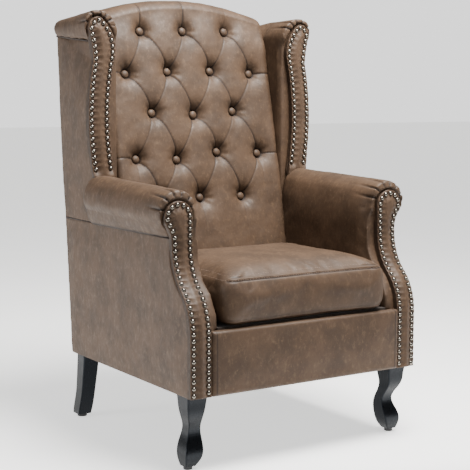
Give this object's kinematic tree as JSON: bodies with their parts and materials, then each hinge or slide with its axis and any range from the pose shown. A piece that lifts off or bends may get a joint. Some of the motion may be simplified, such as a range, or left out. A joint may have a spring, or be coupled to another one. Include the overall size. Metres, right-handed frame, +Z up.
{
  "type": "wingback armchair",
  "caption": "Wingback armchair in mottled brown faux leather with a diamond-tufted back, scroll arms, nailed facings, a loose box cushion and dark cabriole legs",
  "frame": {"origin": "On the floor, in the middle of the width and of the depth of the whole chair", "axes": "+X to the chair's right-hand side in the view from the front, +Y to the back, +Z up; the front faces -Y"},
  "size_m": [0.672, 0.659, 1.04],
  "materials": {
    "cover": "distressed satin faux leather",
    "leg_wood": "black satin lacquer",
    "frame_wood": "bare sawn hardwood",
    "nail_metal": "bright nickel",
    "steel": "plain steel",
    "glide_plastic": "moulded black",
    "padding": "foam and felt",
    "board": "hardboard",
    "cloth": "woven backing cloth"
  },
  "bodies": {
    "frame": {"apron": "cover", "back_buttons": "cover", "back_cross_webbing": "cloth", "back_lower_rail": "frame_wood", "back_panel": "cover", "back_top_rail": "frame_wood", "back_webbing": "cloth", "corner_blocks": "frame_wood", "dust_cover": "cloth", "front_rail": "frame_wood", "glides": "glide_plastic", "inside_back": "cover", "left_arm_backing": "board", "left_arm_facing": "cover", "left_arm_nails": "nail_metal", "left_arm_pad": "cover", "left_arm_rail": "frame_wood", "left_arm_stump": "frame_wood", "left_back_post": "frame_wood", "left_front_leg": "leg_wood", "left_rear_leg": "leg_wood", "left_side_panel": "cover", "left_side_rail": "frame_wood", "left_wing_backing": "board", "left_wing_facing": "cover", "left_wing_nails": "nail_metal", "left_wing_pad": "cover", "left_wing_panel": "cover", "left_wing_post": "frame_wood", "left_wing_rail": "frame_wood", "leg_bolts": "steel", "rear_rail": "frame_wood", "right_arm_backing": "board", "right_arm_facing": "cover", "right_arm_nails": "nail_metal", "right_arm_pad": "cover", "right_arm_rail": "frame_wood", "right_arm_stump": "frame_wood", "right_back_post": "frame_wood", "right_front_leg": "leg_wood", "right_rear_leg": "leg_wood", "right_side_panel": "cover", "right_side_rail": "frame_wood", "right_wing_backing": "board", "right_wing_facing": "cover", "right_wing_nails": "nail_metal", "right_wing_pad": "cover", "right_wing_panel": "cover", "right_wing_post": "frame_wood", "right_wing_rail": "frame_wood", "seat_deck": "padding", "seat_springs": "steel", "spring_clips": "steel", "spring_cover": "cloth"},
    "cushion": {"cushion_cover": "cover", "cushion_core": "padding"}
  },
  "joints": [
    {"name": "cushion_lift", "type": "slide", "parent": "frame", "child": "cushion", "axis": [0, 0, 1], "range_m": [0, 0.2]}
  ]
}
